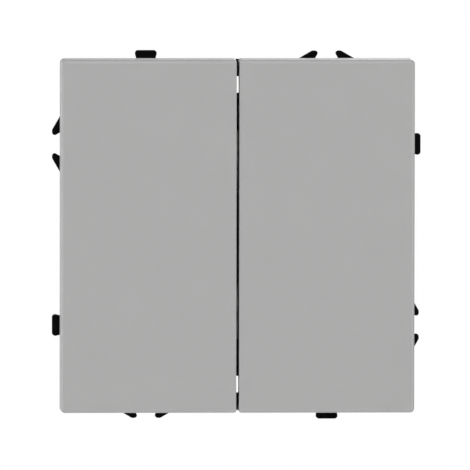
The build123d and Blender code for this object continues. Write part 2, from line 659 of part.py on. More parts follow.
SPRING_WIRE = 0.5
SPRING_RADIUS = 1.45
SPRING_TURNS = 5


def plunger_spring(x):
    """Coil spring between the bore's blind end and the plunger's shoulder."""
    start = BORE_FRONT + SPRING_WIRE / 2 + RUNNING_CLEARANCE
    height = PLUNGER_FRONT - RUNNING_CLEARANCE - SPRING_WIRE / 2 - start
    path = Helix(pitch=height / SPRING_TURNS, height=height, radius=SPRING_RADIUS)
    section = Plane(origin=path @ 0, z_dir=path % 0) * Circle(SPRING_WIRE / 2)
    coil = sweep(section, path=path)
    return Pos(x, start, 0) * Rot(-90, 0, 0) * coil


# ---- expansion claws ----------------------------------------------------------------------------
CLAW_SHEET = 1.2             # thickness of a claw's sheet metal
CLAW_LENGTH = 16.2
CLAW_SLOT = 1.95             # half width of the fork's gap, which the claw screw passes through
CLAW_TOE = 2.5               # length of the bent tip
CLAW_OFFSET = 0.05           # from the line through hinge and nut to the claw's inner face
NUT_HEIGHT = 2.6
NUT_HALF_Z = 3.4
TEETH = 4
TOOTH_DEPTH = 0.9
CLAW_FOLD = degrees(atan2(CLAW_SCREW_X + CLAW_NUT_HALF_X - CLAW_HINGE_X, CLAW_NUT_Y - CLAW_HINGE_Y))
CLAW_SCREW_SHANK = 1.45
CLAW_SCREW_TIP = 19.0
CLAW_HEAD_RADIUS = 2.7
CLAW_HEAD_HEIGHT = 1.9


def claw():
    """Right-hand claw folded in: a fork with an eye on each hinge pin and a toothed tip."""
    outline = Circle(CLAW_PIN_RADIUS + 0.85)
    outline += rectangle((CLAW_OFFSET, CLAW_OFFSET + CLAW_SHEET), (0, CLAW_LENGTH))
    outline += rectangle((CLAW_OFFSET, CLAW_TOE), (CLAW_LENGTH - CLAW_SHEET, CLAW_LENGTH))
    outline -= Circle(CLAW_PIN_RADIUS + RUNNING_CLEARANCE)
    body = column(outline, -CLAW_HALF_Z, CLAW_HALF_Z)
    body -= block((-3, 4), (-3, CLAW_LENGTH - 2.6), (-CLAW_SLOT, CLAW_SLOT))
    # Notches leave teeth along the bent tip, which bite into the wall box.
    pitch = 2 * CLAW_HALF_Z / TEETH
    root, beyond = CLAW_TOE - TOOTH_DEPTH, CLAW_TOE + 0.2
    for count in range(1, TEETH):
        z = -CLAW_HALF_Z + count * pitch
        notch = Polyline((root, z), (beyond, z - pitch / 2), (beyond, z + pitch / 2), close=True)
        body -= slab(make_face(notch), CLAW_LENGTH - CLAW_SHEET - 1, CLAW_LENGTH + 1)
    return Pos(CLAW_HINGE_X, CLAW_HINGE_Y, 0) * Rot(0, 0, -CLAW_FOLD) * body


def claw_nut():
    across = (CLAW_SCREW_X - CLAW_NUT_HALF_X, CLAW_SCREW_X + CLAW_NUT_HALF_X)
    nut = block(across, (CLAW_NUT_Y, CLAW_NUT_Y + NUT_HEIGHT), (-NUT_HALF_Z, NUT_HALF_Z))
    nut = chamfer(nut.edges().filter_by(Axis.Z), 0.3)
    return nut - rod(CLAW_SCREW_SHANK + 0.1, CLAW_SCREW_X, 0, 10, 20)


def claw_screw():
    under_head = STEEL_FRONT - RUNNING_CLEARANCE
    face = under_head - CLAW_HEAD_HEIGHT
    head = rod(CLAW_HEAD_RADIUS, CLAW_SCREW_X, 0, face, under_head)
    head = fillet(head.edges().sort_by(Axis.Y)[0], 0.6)
    head -= drive_recess(CLAW_HEAD_RADIUS, CLAW_SCREW_X, 0, face, 1.1)
    shank = rod(CLAW_SCREW_SHANK, CLAW_SCREW_X, 0, under_head, CLAW_SCREW_TIP)
    return head + chamfer(shank.edges().sort_by(Axis.Y)[-1], 0.5)


def claw_pins():
    """Two short pins, one on each side of the claw screw."""
    outline = Pos(CLAW_HINGE_X, CLAW_HINGE_Y) * Circle(CLAW_PIN_RADIUS)
    inner, outer = CLAW_SLOT + 0.2, LUG_HALF_Z + 0.3
    return Compound([column(outline, -outer, -inner), column(outline, inner, outer)])


# ---- assembly -----------------------------------------------------------------------------------
def build():
    """Every node by name, with the rockers in their off position: upper ends forward."""
    nodes = {
        "mounting_frame": mounting_frame(),
        "steel_yoke": steel_yoke(),
        "frame_rivets": Compound([frame_rivet(x, z) for x, z in RIVET_AT]),
        "housing_base": housing_base(),
        "housing_cover": housing_cover(),
        "centre_bearing": centre_bearing(),
        "housing_screws": Compound([housing_screw(x, z) for x, z in BOSS_AT]),
        "contact_retainer": contact_retainer(),
        "common_terminal": common_terminal(),
    }
    for name, (x, up) in TERMINALS.items():
        nodes[f"terminal_clamp_{name}"] = terminal_clamp(x, up * TERMINAL_Z)
        nodes[f"terminal_screw_{name}"] = terminal_screw(x, up * TERMINAL_Z)
    for name, side in SIDES.items():
        x = side * GANG_X
        nodes[f"output_terminal_{name}"] = output_terminal(x)
        nodes[f"fixed_contact_{name}"] = fixed_contact(x)
        nodes[f"rocker_cap_{name}"] = tilted(mirrored(rocker_cap(), side), HINGE_Y, ROCKER_TILT)
        nodes[f"actuator_{name}"] = tilted(mirrored(actuator(), side), HINGE_Y, ROCKER_TILT)
        nodes[f"plunger_{name}"] = tilted(mirrored(plunger(), side), HINGE_Y, ROCKER_TILT)
        nodes[f"plunger_spring_{name}"] = tilted(plunger_spring(x), HINGE_Y, ROCKER_TILT)
        nodes[f"contact_blade_{name}"] = tilted(contact_blade(x), CONTACT_PIVOT_Y, -CONTACT_TILT)
        nodes[f"moving_contact_{name}"] = tilted(moving_contact(x), CONTACT_PIVOT_Y, -CONTACT_TILT)
        nodes[f"claw_{name}"] = mirrored(claw(), side)
        nodes[f"claw_pins_{name}"] = mirrored(claw_pins(), side)
        nodes[f"claw_nut_{name}"] = mirrored(claw_nut(), side)
        nodes[f"claw_screw_{name}"] = mirrored(claw_screw(), side)
    return nodes


os.makedirs("parts", exist_ok=True)
for node, shape in build().items():
    export_step(shape, f"parts/{node}.step")
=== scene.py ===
import json
import math

import bmesh
import bpy
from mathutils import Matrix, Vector


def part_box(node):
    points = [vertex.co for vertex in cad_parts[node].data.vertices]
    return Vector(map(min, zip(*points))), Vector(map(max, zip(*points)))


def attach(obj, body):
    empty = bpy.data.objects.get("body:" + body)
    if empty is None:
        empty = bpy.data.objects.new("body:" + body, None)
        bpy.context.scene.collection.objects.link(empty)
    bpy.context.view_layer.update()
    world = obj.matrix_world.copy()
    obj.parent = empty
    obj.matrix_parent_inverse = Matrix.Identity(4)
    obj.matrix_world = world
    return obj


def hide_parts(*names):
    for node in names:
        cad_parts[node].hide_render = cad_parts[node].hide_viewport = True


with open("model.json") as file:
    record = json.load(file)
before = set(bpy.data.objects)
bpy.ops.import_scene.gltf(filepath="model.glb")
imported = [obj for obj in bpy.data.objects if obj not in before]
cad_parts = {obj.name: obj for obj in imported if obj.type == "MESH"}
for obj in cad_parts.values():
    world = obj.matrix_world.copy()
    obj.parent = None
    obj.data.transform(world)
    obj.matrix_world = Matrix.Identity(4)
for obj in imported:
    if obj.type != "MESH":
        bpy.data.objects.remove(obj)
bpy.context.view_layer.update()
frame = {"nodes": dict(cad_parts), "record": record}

MM = 0.001


# ---- camera, floor and light --------------------------------------------------------------------
FACE_Y = -10.5 * MM          # the rockers' faces in their middle position
VIEW_WIDTH = 93.82 * MM      # width of the picture at the rockers' faces
CAMERA_DISTANCE = 3.0
CAMERA_LEFT = math.radians(2.3)
CAMERA_UP = math.radians(1.35)
AIM_X = -0.58 * MM           # the point on the faces that is in the middle of the picture
AIM_Z = 0.07 * MM
SENSOR = 36.0
STUDIO = (0.36, 0.62)        # strength of the studio's light from below and from above
STUDIO_FRONT = (0.6, 1.0)    # share of it that comes from straight ahead, and from the sides
STUDIO_AHEAD = (-0.98, -0.55)     # directions' Y at which those two shares are reached
FLOOR_HALF = 1.7
FLOOR_Z = -0.32
FLOOR_GREY = 0.86
FLOOR_ROUGHNESS = 0.8
LIGHTS = (                   # name, place, width and height, power
    ("key", (-0.08, -1.05, 0.75), (0.7, 0.7), 7.0),
    ("left", (-1.15, -0.72, 0.1), (0.35, 1.0), 9.0),
    ("right", (1.15, -0.72, 0.1), (0.35, 1.0), 9.0),
    ("back", (0.5, 1.1, 0.7), (0.9, 0.9), 12.0),
    ("back_side", (-1.0, 0.8, 0.2), (0.6, 0.9), 6.0),
)


def make_camera():
    """A long lens slightly to the left of the middle and slightly above it."""
    aim = Vector((AIM_X, FACE_Y, AIM_Z))
    back = Vector((
        -math.sin(CAMERA_LEFT) * math.cos(CAMERA_UP),
        -math.cos(CAMERA_LEFT) * math.cos(CAMERA_UP),
        math.sin(CAMERA_UP),
    ))
    data = bpy.data.cameras.new("camera")
    data.sensor_width = SENSOR
    data.lens = SENSOR * CAMERA_DISTANCE / VIEW_WIDTH
    data.clip_start = 0.01
    data.clip_end = 20.0
    camera = bpy.data.objects.new("camera", data)
    camera.location = aim + back * CAMERA_DISTANCE
    camera.rotation_mode = "QUATERNION"
    camera.rotation_quaternion = (-back).to_track_quat("-Z", "Y")
    bpy.context.scene.collection.objects.link(camera)
    bpy.context.scene.camera = camera


def make_area_light(name, place, size, power):
    """Soft light aimed at the origin."""
    data = bpy.data.lights.new(name, "AREA")
    data.shape = "RECTANGLE"
    data.size, data.size_y = size
    data.energy = power
    lamp = bpy.data.objects.new(name, data)
    lamp.location = place
    lamp.rotation_mode = "QUATERNION"
    lamp.rotation_quaternion = (-Vector(place)).to_track_quat("-Z", "Y")
    lamp.visible_camera = False
    bpy.context.scene.collection.objects.link(lamp)


def make_world():
    """White behind the object; a grey studio lights it, brighter above and darker straight ahead."""
    world = bpy.data.worlds.new("studio")
    world.use_nodes = True
    tree = world.node_tree
    tree.nodes.clear()
    output = tree.nodes.new("ShaderNodeOutputWorld")
    mix = tree.nodes.new("ShaderNodeMixShader")
    path = tree.nodes.new("ShaderNodeLightPath")
    seen = tree.nodes.new("ShaderNodeBackground")
    lit = tree.nodes.new("ShaderNodeBackground")
    seen.inputs["Color"].default_value = (1.0, 1.0, 1.0, 1.0)
    seen.inputs["Strength"].default_value = 1.0
    coords = tree.nodes.new("ShaderNodeTexCoord")
    split = tree.nodes.new("ShaderNodeSeparateXYZ")
    height = tree.nodes.new("ShaderNodeMapRange")
    ahead = tree.nodes.new("ShaderNodeMapRange")
    for ramp, numbers in ((height, (-1.0, 1.0, *STUDIO)), (ahead, (*STUDIO_AHEAD, *STUDIO_FRONT))):
        for key, number in zip(("From Min", "From Max", "To Min", "To Max"), numbers):
            ramp.inputs[key].default_value = number
    both = tree.nodes.new("ShaderNodeMath")
    both.operation = "MULTIPLY"
    tree.links.new(coords.outputs["Generated"], split.inputs["Vector"])
    tree.links.new(split.outputs["Z"], height.inputs["Value"])
    tree.links.new(split.outputs["Y"], ahead.inputs["Value"])
    tree.links.new(height.outputs["Result"], both.inputs[0])
    tree.links.new(ahead.outputs["Result"], both.inputs[1])
    tree.links.new(both.outputs["Value"], lit.inputs["Strength"])
    tree.links.new(path.outputs["Is Camera Ray"], mix.inputs["Fac"])
    tree.links.new(lit.outputs["Background"], mix.inputs[1])
    tree.links.new(seen.outputs["Background"], mix.inputs[2])
    tree.links.new(mix.outputs["Shader"], output.inputs["Surface"])
    bpy.context.scene.world = world


def make_floor():
    """A pale floor well below the object, which hangs on a wall."""
    half = FLOOR_HALF
    mesh = bpy.data.meshes.new("floor")
    corners = [(-half, -half, 0), (half, -half, 0), (half, half, 0), (-half, half, 0)]
    mesh.from_pydata(corners, [], [(0, 1, 2, 3)])
    floor = bpy.data.objects.new("floor", mesh)
    floor.location = (0, 0, FLOOR_Z)
    bpy.context.scene.collection.objects.link(floor)
    finish = bpy.data.materials.new("floor_paper")
    finish.use_nodes = True
    shader = finish.node_tree.nodes["Principled BSDF"]
    shader.inputs["Base Color"].default_value = (FLOOR_GREY, FLOOR_GREY, FLOOR_GREY, 1.0)
    shader.inputs["Roughness"].default_value = FLOOR_ROUGHNESS
    # Seen from below, the floor is clear.
    nodes = finish.node_tree.nodes
    links = finish.node_tree.links
    below = nodes.new("ShaderNodeNewGeometry")
    clear = nodes.new("ShaderNodeBsdfTransparent")
    mix = nodes.new("ShaderNodeMixShader")
    links.new(below.outputs["Backfacing"], mix.inputs["Fac"])
    links.new(shader.outputs["BSDF"], mix.inputs[1])
    links.new(clear.outputs["BSDF"], mix.inputs[2])
    links.new(mix.outputs["Shader"], nodes["Material Output"].inputs["Surface"])
    mesh.materials.append(finish)


make_camera()
make_world()
make_floor()
for light in LIGHTS:
    make_area_light(*light)
bpy.context.scene.view_settings.view_transform = "Standard"


# ---- materials ----------------------------------------------------------------------------------
class Finish:
    """A material's node tree, with a few short ways to add to it. Lengths are in millimetres."""

    def __init__(self, name):
        self.material = bpy.data.materials.new(name)
        self.material.use_nodes = True
        self.tree = self.material.node_tree
        self.shader = self.tree.nodes["Principled BSDF"]
        coords = self.add("ShaderNodeTexCoord")
        scale = self.add("ShaderNodeVectorMath", operation="SCALE")
        self.link(coords.outputs["Object"], scale.inputs[0])
        scale.inputs["Scale"].default_value = 1 / MM
        self.place = scale.outputs["Vector"]

    def add(self, kind, **values):
        node = self.tree.nodes.new(kind)
        for key, value in values.items():
            setattr(node, key, value)
        return node

    def link(self, source, target):
        self.tree.links.new(source, target)

    def set(self, **values):
        for key, value in values.items():
            self.shader.inputs[key.replace("_", " ")].default_value = value

    def stretched(self, x, y, z):
        node = self.add("ShaderNodeVectorMath", operation="MULTIPLY")
        self.link(self.place, node.inputs[0])
        node.inputs[1].default_value = (x, y, z)
        return node.outputs["Vector"]

    def noise(self, grain, detail=3.0, roughness=0.55, place=None, distortion=0.0):
        """Noise whose features are about grain millimetres across."""
        node = self.add("ShaderNodeTexNoise")
        self.link(place or self.place, node.inputs["Vector"])
        node.inputs["Scale"].default_value = 1 / grain
        node.inputs["Detail"].default_value = detail
        node.inputs["Roughness"].default_value = roughness
        node.inputs["Distortion"].default_value = distortion
        return node.outputs["Fac"]

    def spots(self, grain):
        """Distance from scattered points that are about grain millimetres apart."""
        node = self.add("ShaderNodeTexVoronoi")
        self.link(self.place, node.inputs["Vector"])
        node.inputs["Scale"].default_value = 1 / grain
        return node.outputs["Distance"]

    def ranged(self, value, low, high, to_low, to_high):
        """Value taken from the range low to high into the range to_low to to_high, and held there."""
        node = self.add("ShaderNodeMapRange")
        self.link(value, node.inputs["Value"])
        for key, number in (("From Min", low), ("From Max", high), ("To Min", to_low), ("To Max", to_high)):
            node.inputs[key].default_value = number
        return node.outputs["Result"]

    def math(self, operation, first, second):
        node = self.add("ShaderNodeMath", operation=operation)
        for socket, value in zip(node.inputs, (first, second)):
            if isinstance(value, (int, float)):
                socket.default_value = value
            else:
                self.link(value, socket)
        return node.outputs["Value"]

    def mixed(self, share, first, second):
        """Colour between first and second, either of which may be a socket."""
        node = self.add("ShaderNodeMix", data_type="RGBA")
        self.link(share, node.inputs["Factor"])
        for key, value in (("A", first), ("B", second)):
            socket = next(s for s in node.inputs if s.name == key and s.type == "RGBA")
            if isinstance(value, tuple):
                socket.default_value = (*value, 1.0)
            else:
                self.link(value, socket)
        return next(s for s in node.outputs if s.type == "RGBA")

    def edges(self, radius):
        """0 on flat surfaces, 1 on outer and inner edges, over about radius millimetres."""
        soft = self.rounded(radius)
        flat = self.add("ShaderNodeNewGeometry")
        dot = self.add("ShaderNodeVectorMath", operation="DOT_PRODUCT")
        self.link(soft, dot.inputs[0])
        self.link(flat.outputs["Normal"], dot.inputs[1])
        return self.ranged(dot.outputs["Value"], 0.98, 0.80, 0.0, 1.0)

    def bump(self, height, depth, normal=None):
        """A bump of depth millimetres; returns its normal, for a second bump on top."""
        node = self.add("ShaderNodeBump")
        self.link(height, node.inputs["Height"])
        node.inputs["Distance"].default_value = depth * MM
        if normal is not None:
            self.link(normal, node.inputs["Normal"])
        return node.outputs["Normal"]

    def rounded(self, radius):
        """Normal that rounds every edge over about radius millimetres."""
        node = self.add("ShaderNodeBevel")
        node.samples = 4
        node.inputs["Radius"].default_value = radius * MM
        return node.outputs["Normal"]

    def finish(self, colour=None, roughness=None, normal=None):
        for key, value in (("Base Color", colour), ("Roughness", roughness), ("Normal", normal)):
            if value is not None:
                self.link(value, self.shader.inputs[key])
        return self.material


def moulded_plastic(name, colour, roughness, grain, depth, variation, edge, edge_wear_and_highlight_gain, gloss=0.5):
    """Injection-moulded plastic: spark-eroded grain, faint flow, and edges lightened partly by handling wear
    and partly as a painted highlight.

    Grain, depth and edge are in mm, variation and edge_wear_and_highlight_gain are shares of the colour,
    and gloss is the specular level.
    """
    look = Finish(name)
    look.set(Specular_IOR_Level=gloss)
    flow = look.noise(9.0, detail=2.0, distortion=0.6)
    fine = look.noise(grain, detail=2.0)
    edge_mask = look.edges(edge)
    darker = tuple(c * (1 - variation) for c in colour)
    lighter = tuple(c * (1 + variation) for c in colour)
    body = look.mixed(look.ranged(flow, 0.3, 0.7, 0.0, 1.0), darker, lighter)
    # Edges lighter than the body: partly wear, partly a painted highlight.
    worn_and_lit_edge_colour = tuple(min(1.0, c * edge_wear_and_highlight_gain) for c in colour)
    body = look.mixed(look.math("MULTIPLY", edge_mask, 0.6), body, worn_and_lit_edge_colour)
    rough = look.ranged(fine, 0.3, 0.7, roughness - 0.06, roughness + 0.06)
    rough = look.math("SUBTRACT", rough, look.math("MULTIPLY", edge_mask, 0.08))
    normal = look.bump(fine, depth, look.rounded(edge))
    return look.finish(body, rough, normal)


def plated_steel(name, colour=(0.56, 0.57, 0.59), roughness=0.30, along=(1.0, 1.0, 0.06), edge=0.12):
    """Zinc plating over rolled sheet: fine lines along the sheet, clouded passivation, and edges lightened
    partly as wear and partly as a painted highlight.
    """
    look = Finish(name)
    look.set(Metallic=1.0)
    lines = look.noise(0.06, detail=2.0, place=look.stretched(*along))
    cloud = look.noise(5.0, detail=3.0, distortion=0.4)
    edge_mask = look.edges(edge)
    cool = tuple(c * k for c, k in zip(colour, (0.965, 0.978, 1.0)))
    warm = tuple(c * k for c, k in zip(colour, (1.02, 1.01, 0.99)))
    tint = look.mixed(look.ranged(cloud, 0.35, 0.65, 0.0, 1.0), cool, warm)
    # Edges toward a paler steel: partly wear, partly a painted highlight.
    tint = look.mixed(look.math("MULTIPLY", edge_mask, 0.5), tint, (0.80, 0.81, 0.82))
    gloss = look.ranged(cloud, 0.3, 0.7, roughness - 0.03, roughness + 0.04)
    gloss = look.math("ADD", gloss, look.ranged(lines, 0.3, 0.7, -0.04, 0.04))
    normal = look.bump(lines, 0.003, look.rounded(edge))
    return look.finish(tint, gloss, normal)


def stamped_brass(name):
    look = Finish(name)
    look.set(Metallic=1.0)
    lines = look.noise(0.08, detail=2.0, place=look.stretched(0.08, 1.0, 1.0))
    tarnish = look.noise(2.4, detail=5.0, distortion=1.0)
    edge_mask = look.edges(0.12)
    tint = look.mixed(look.ranged(tarnish, 0.42, 0.68, 0.0, 1.0), (0.78, 0.55, 0.22), (0.52, 0.33, 0.13))
    tint = look.mixed(look.math("MULTIPLY", edge_mask, 0.6), tint, (0.90, 0.72, 0.38))
    gloss = look.ranged(tarnish, 0.35, 0.7, 0.22, 0.42)
    normal = look.bump(lines, 0.006, look.rounded(0.12))
    return look.finish(tint, gloss, normal)


def contact_silver(name):
    look = Finish(name)
    look.set(Metallic=1.0)
    haze = look.noise(0.6, detail=4.0)
    tint = look.mixed(look.ranged(haze, 0.4, 0.65, 0.0, 1.0), (0.88, 0.87, 0.84), (0.66, 0.63, 0.58))
    gloss = look.ranged(haze, 0.3, 0.7, 0.20, 0.38)
    return look.finish(tint, gloss, look.bump(haze, 0.01, look.rounded(0.1)))


def pressed_laminate(name):
    """Brown paper laminate, punched from sheet: fibres, and pale fuzzy edges."""
    look = Finish(name)
    fibres = look.noise(0.16, detail=5.0, place=look.stretched(1.0, 1.0, 0.12))
    cloud = look.noise(2.0, detail=3.0)
    edge_mask = look.edges(0.12)
    tint = look.mixed(look.ranged(fibres, 0.35, 0.65, 0.0, 1.0), (0.20, 0.095, 0.040), (0.31, 0.16, 0.075))
    tint = look.mixed(look.ranged(cloud, 0.4, 0.8, 0.0, 0.5), tint, (0.14, 0.06, 0.028))
    tint = look.mixed(look.math("MULTIPLY", edge_mask, 0.5), tint, (0.48, 0.30, 0.17))
    gloss = look.ranged(fibres, 0.3, 0.7, 0.42, 0.60)
    return look.finish(tint, gloss, look.bump(fibres, 0.02, look.rounded(0.12)))


def thermoset(name):
    """Pale grey thermoset: a faint flow, mineral filler that just shows as fine specks, and edges lightened
    partly as wear and partly as a painted highlight.
    """
    look = Finish(name)
    specks = look.spots(0.4)
    flow = look.noise(11.0, detail=2.0, distortion=0.3)
    fine = look.noise(0.22, detail=2.0)
    edge_mask = look.edges(0.2)
    tint = look.mixed(look.ranged(flow, 0.3, 0.7, 0.0, 1.0), (0.515, 0.51, 0.49), (0.535, 0.53, 0.51))
    tint = look.mixed(look.ranged(specks, 0.08, 0.14, 0.20, 0.0), tint, (0.36, 0.35, 0.33))
    # Edges lighter than the body: partly wear, partly a painted highlight.
    tint = look.mixed(look.math("MULTIPLY", edge_mask, 0.35), tint, (0.64, 0.635, 0.615))
    gloss = look.ranged(fine, 0.3, 0.7, 0.33, 0.43)
    return look.finish(tint, gloss, look.bump(fine, 0.006, look.rounded(0.2)))


PLASTICS = {                 # slot: the arguments of moulded_plastic
    "rocker": ("rocker_plastic", (0.288, 0.288, 0.286), 0.36, 0.16, 0.004, 0.012, 0.12, 1.1),
    "frame_black": ("black_nylon", (0.0013, 0.0013, 0.0014), 0.42, 0.22, 0.010, 0.2, 0.15, 2.4, 0.05),
    "cover": ("pale_grey_plastic", (0.70, 0.70, 0.69), 0.50, 0.25, 0.012, 0.04, 0.15, 1.2),
    "bearing": ("black_acetal", (0.006, 0.006, 0.0063), 0.36, 0.20, 0.008, 0.2, 0.12, 2.0, 0.35),
    "actuator": ("grey_acetal", (0.060, 0.060, 0.063), 0.42, 0.22, 0.010, 0.08, 0.15, 1.5),
    "plunger": ("natural_acetal", (0.72, 0.71, 0.68), 0.32, 0.20, 0.006, 0.03, 0.10, 1.1),
}
STEELS = {                   # slot: the arguments of plated_steel
    "steel": ("zinc_plated_sheet",),
    "claw": ("zinc_plated_claw", (0.53, 0.54, 0.55), 0.34, (1.0, 0.08, 1.0)),
    "rivet": ("zinc_plated_rivet", (0.60, 0.60, 0.61), 0.28, (1.0, 1.0, 1.0)),
    "screw": ("zinc_plated_screw", (0.60, 0.60, 0.61), 0.26, (1.0, 0.3, 1.0)),
    "spring": ("spring_wire", (0.60, 0.60, 0.61), 0.22, (1.0, 1.0, 1.0), 0.05),
}
FINISHES = {slot: moulded_plastic(*values) for slot, values in PLASTICS.items()}
FINISHES |= {slot: plated_steel(*values) for slot, values in STEELS.items()}
FINISHES["housing"] = thermoset("pale_thermoset")
FINISHES["insulator"] = pressed_laminate("brown_laminate")
FINISHES["brass"] = stamped_brass("stamped_brass")
FINISHES["silver"] = contact_silver("contact_silver")
SLOT_OF = {part["node"]: part["material_slot"] for part in frame["record"]["subparts"]}
for node, thing in frame["nodes"].items():
    thing.data.materials.clear()
    thing.data.materials.append(FINISHES[SLOT_OF[node]])


# ---- mesh tools ---------------------------------------------------------------------------------
SMOOTH_BELOW = math.radians(38)
THREAD_FLAT = 0.14           # shares of a thread's pitch: the flat at its root, and its two flanks
THREAD_FLANK = 0.68


def to_piece(name, shape, slot, body, node=None):
    """Object from a bmesh in metres: smooth with crisp edges, in its slot's finish, riding on a body."""
    bmesh.ops.recalc_face_normals(shape, faces=shape.faces)
    mesh = bpy.data.meshes.new(name)
    shape.to_mesh(mesh)
    shape.free()
    mesh.materials.append(FINISHES[slot])
    mesh.shade_smooth()
    mesh.set_sharp_from_angle(angle=SMOOTH_BELOW)
    thing = bpy.data.objects.new(name, mesh)
    bpy.context.scene.collection.objects.link(thing)
    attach(thing, body)
    if node:
        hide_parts(node)
    return thing


def point(shape, x, y, z):
    """New vertex of a bmesh, from millimetres."""
    return shape.verts.new(Vector((x, y, z)) * MM)


def bridged(shape, first, second):
    """Faces between two closed rows of as many vertices."""
    for step in range(len(first)):
        after = (step + 1) % len(first)
        shape.faces.new((first[step], first[after], second[after], second[step]))


def circles(shape, rows, x, z, columns):
    """Rings of vertices round a line along Y; rows are (y, radius), with radius a number or f(angle)."""
    rings = []
    for y, radius in rows:
        row = []
        for step in range(columns):
            angle = 2 * math.pi * step / columns
            r = radius(angle) if callable(radius) else radius
            row.append(point(shape, x + r * math.cos(angle), y, z + r * math.sin(angle)))
        rings.append(row)
    return rings


def turned(rows, x, z, columns=48):
    """Closed solid round a line along Y, from the rows that circles takes."""
    shape = bmesh.new()
    rings = circles(shape, rows, x, z, columns)
    for row, following in zip(rings, rings[1:]):
        bridged(shape, row, following)
    shape.faces.new(rings[0])
    shape.faces.new(reversed(rings[-1]))
    return shape


def thread_rows(start, end, crest, root, pitch, per_turn=12, lead=1.0):
    """Rows of a helical thread between two values of y, fading out over lead millimetres at its end."""
    rows = []
    count = round(abs(end - start) / pitch * per_turn)
    for step in range(count + 1):
        y = start + (end - start) * step / count
        fade = min(1.0, abs(end - y) / lead, abs(y - start) / (0.5 * lead))

        def radius(angle, y=y, fade=fade):
            phase = (y / pitch - angle / (2 * math.pi)) % 1.0
            flank = min(1.0, max(0.0, (abs(phase - 0.5) * 2 - THREAD_FLAT) / THREAD_FLANK))
            return root + (crest - root) * flank * fade

        rows.append((y, radius))
    return rows


def wedge(x, z, half_x, half_z, face, floor, shrink):
    """Cutter for a screw's drive: a block from above the face down to a smaller floor."""
    shape = bmesh.new()
    above = face + (face - floor) * 0.2
    corners = []
    for y, k in ((above, 1.04), (floor, shrink)):
        for sx, sz in ((-1, -1), (1, -1), (1, 1), (-1, 1)):
            corners.append(point(shape, x + sx * half_x * k, y, z + sz * half_z * k))
    for face_corners in ((3, 2, 1, 0), (4, 5, 6, 7), (0, 1, 5, 4), (1, 2, 6, 5), (2, 3, 7, 6), (3, 0, 4, 7)):
        shape.faces.new([corners[i] for i in face_corners])
    bmesh.ops.recalc_face_normals(shape, faces=shape.faces)
    return shape


def modified(shape, *steps):
    """A bmesh with modifiers applied; each step is (type, settings)."""
    mesh = bpy.data.meshes.new("work")
    bmesh.ops.recalc_face_normals(shape, faces=shape.faces)
    shape.to_mesh(mesh)
    shape.free()
    thing = bpy.data.objects.new("work", mesh)
    bpy.context.scene.collection.objects.link(thing)
    for kind, settings in steps:
        modifier = thing.modifiers.new(kind.lower(), kind)
        for key, value in settings.items():
            setattr(modifier, key, value)
    bpy.context.view_layer.update()
    result = bmesh.new()
    result.from_object(thing, bpy.context.evaluated_depsgraph_get())
    bpy.data.objects.remove(thing)
    bpy.data.meshes.remove(mesh)
    return result


def without(shape, cutters):
    """A bmesh less each of the cutters, which are bmeshes too."""
    for cutter in cutters:
        mesh = bpy.data.meshes.new("cutter")
        cutter.to_mesh(mesh)
        cutter.free()
        thing = bpy.data.objects.new("cutter", mesh)
        bpy.context.scene.collection.objects.link(thing)
        settings = {"object": thing, "operation": "DIFFERENCE", "solver": "EXACT"}
        shape = modified(shape, ("BOOLEAN", settings))
        bpy.data.objects.remove(thing)
        bpy.data.meshes.remove(mesh)
    return shape


def softened(shape, width, segments=2):
    """A bmesh with its sharp edges rounded over width millimetres."""
    bmesh.ops.dissolve_limit(shape, angle_limit=math.radians(1), verts=shape.verts, edges=shape.edges)
    settings = {
        "width": width * MM,
        "segments": segments,
        "limit_method": "ANGLE",
        "angle_limit": math.radians(40),
        "use_clamp_overlap": True,
    }
    return modified(shape, ("BEVEL", settings))


def joined(*shapes):
    """One bmesh that holds several."""
    whole = bmesh.new()
    for shape in shapes:
        mesh = bpy.data.meshes.new("part")
        shape.to_mesh(mesh)
        shape.free()
        whole.from_mesh(mesh)
        bpy.data.meshes.remove(mesh)
    return whole


# ---- screws -------------------------------------------------------------------------------------
CROSS_REACH = 0.60           # a cross's arm and a slot, as shares of the head's radius
SLOT_REACH = 1.2
CROSS_HALF = 0.42            # half widths in mm
SLOT_HALF = 0.34
CROSS_TAPER = 0.62           # width at the floor, as a share of that at the face
SLOT_TAPER = 0.96
SLOT_DEPTH = 0.72            # as a share of the cross's
HEAD_BREAK = 0.05            # rounding of a head's sharp edges
HEAD_FLARE = (0.10, 0.12)    # how much narrower its underside is, and over what height
CROWN_STEPS = 5
CLAW_HEAD = 1.9              # heights of the heads
TERMINAL_HEAD = 2.0
HOUSING_HEAD = 1.5
HOUSING_SCREW_RADIUS = 2.0
TERMINALS = ("common", "output_left", "output_right")


def screw_head(x, z, radius, under, face, round_off, drive_depth):
    """Head with a crown, and a cross recess crossed by a longer slot; the face may look along +Y or -Y."""
    up = 1 if face > under else -1
    height = abs(face - under)
    narrower, flare = HEAD_FLARE
    rows = [(under, radius - narrower), (under + up * flare, radius)]
    for step in range(CROWN_STEPS + 1):
        turn = math.pi / 2 * step / CROWN_STEPS
        y = height - round_off + round_off * math.sin(turn)
        rows.append((under + up * y, radius - round_off * (1 - math.cos(turn))))
    head = turned(rows, x, z)
    floor = face - up * drive_depth
    cutters = [
        wedge(x, z, radius * CROSS_REACH, CROSS_HALF, face, floor, CROSS_TAPER),
        wedge(x, z, CROSS_HALF, radius * CROSS_REACH, face, floor, CROSS_TAPER),
        wedge(x, z, radius * SLOT_REACH, SLOT_HALF, face, face - up * drive_depth * SLOT_DEPTH, SLOT_TAPER),
    ]
    return softened(without(head, cutters), HEAD_BREAK)


def make_screw(name, body, places, head, shank, node=None):
    """One or more screws that stand for a CAD node; head and shank hold their measures in mm."""
    shapes = []
    for x, z in places:
        shapes.append(screw_head(x, z, **head))
        shapes.append(turned(thread_rows(**shank), x, z, 40))
    return to_piece(name, joined(*shapes), "screw", body, node)


def middle(node):
    """Middle of a CAD node in X and Z, and its ends in Y, in mm."""
    low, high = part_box(node)
    x, z = (low.x + high.x) / 2 / MM, (low.z + high.z) / 2 / MM
    return x, z, low.y / MM, high.y / MM


